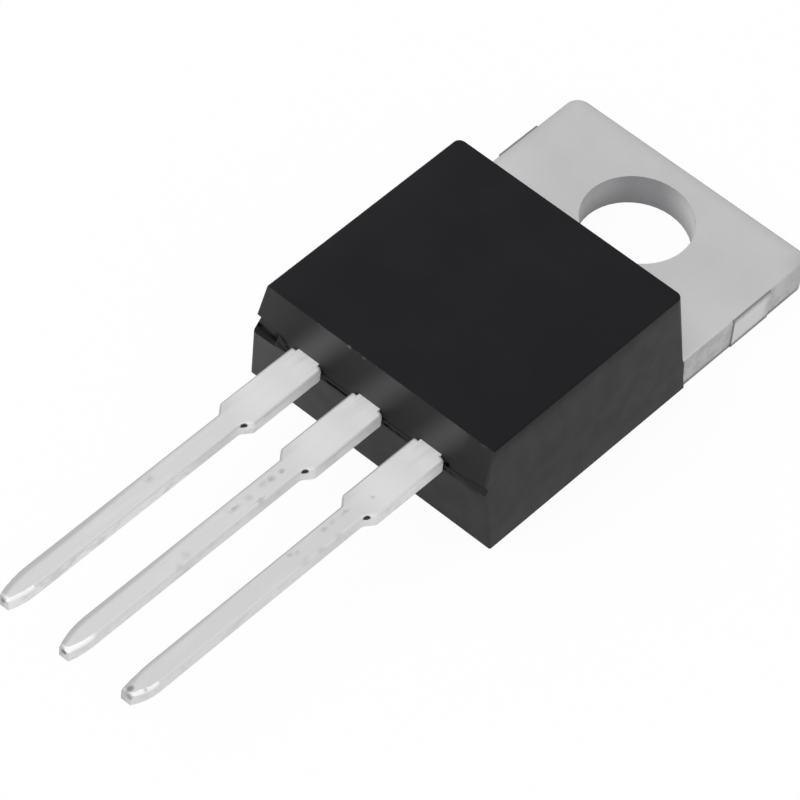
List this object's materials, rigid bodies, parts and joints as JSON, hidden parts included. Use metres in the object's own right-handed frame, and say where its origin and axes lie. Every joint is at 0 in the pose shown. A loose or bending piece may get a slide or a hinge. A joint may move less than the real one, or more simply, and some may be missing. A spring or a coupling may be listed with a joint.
{
  "type": "low-dropout voltage regulator",
  "caption": "Three-lead low-dropout voltage regulator in a tab-mounted power package: epoxy body, drilled metal tab and straight trimmed leads.",
  "frame": {"origin": "centre of the tab's mounting hole, in the plane of the tab's back face", "axes": "+X across the width, +Y from the leads towards the end of the tab, +Z from the back face out of the marked face"},
  "size_m": [0.01, 0.0294, 0.0044],
  "materials": {
    "plated_tab": "matte nickel plating over copper on the tab, bright tin on the centre lead",
    "tinned_lead": "bright tin plating over copper, lightly scuffed",
    "solder": "dull solder",
    "silicon": "polished silicon with metal pads",
    "bond_wire": "bright drawn aluminium",
    "epoxy": "fine satin moulded black epoxy"
  },
  "bodies": {
    "root": {"heatsink_frame": "plated_tab", "input_lead": "tinned_lead", "output_lead": "tinned_lead", "die_solder": "solder", "silicon_die": "silicon", "input_wire": "bond_wire", "output_wire": "bond_wire", "sense_wire": "bond_wire", "ground_wire": "bond_wire", "moulded_body": "epoxy"}
  },
  "joints": []
}
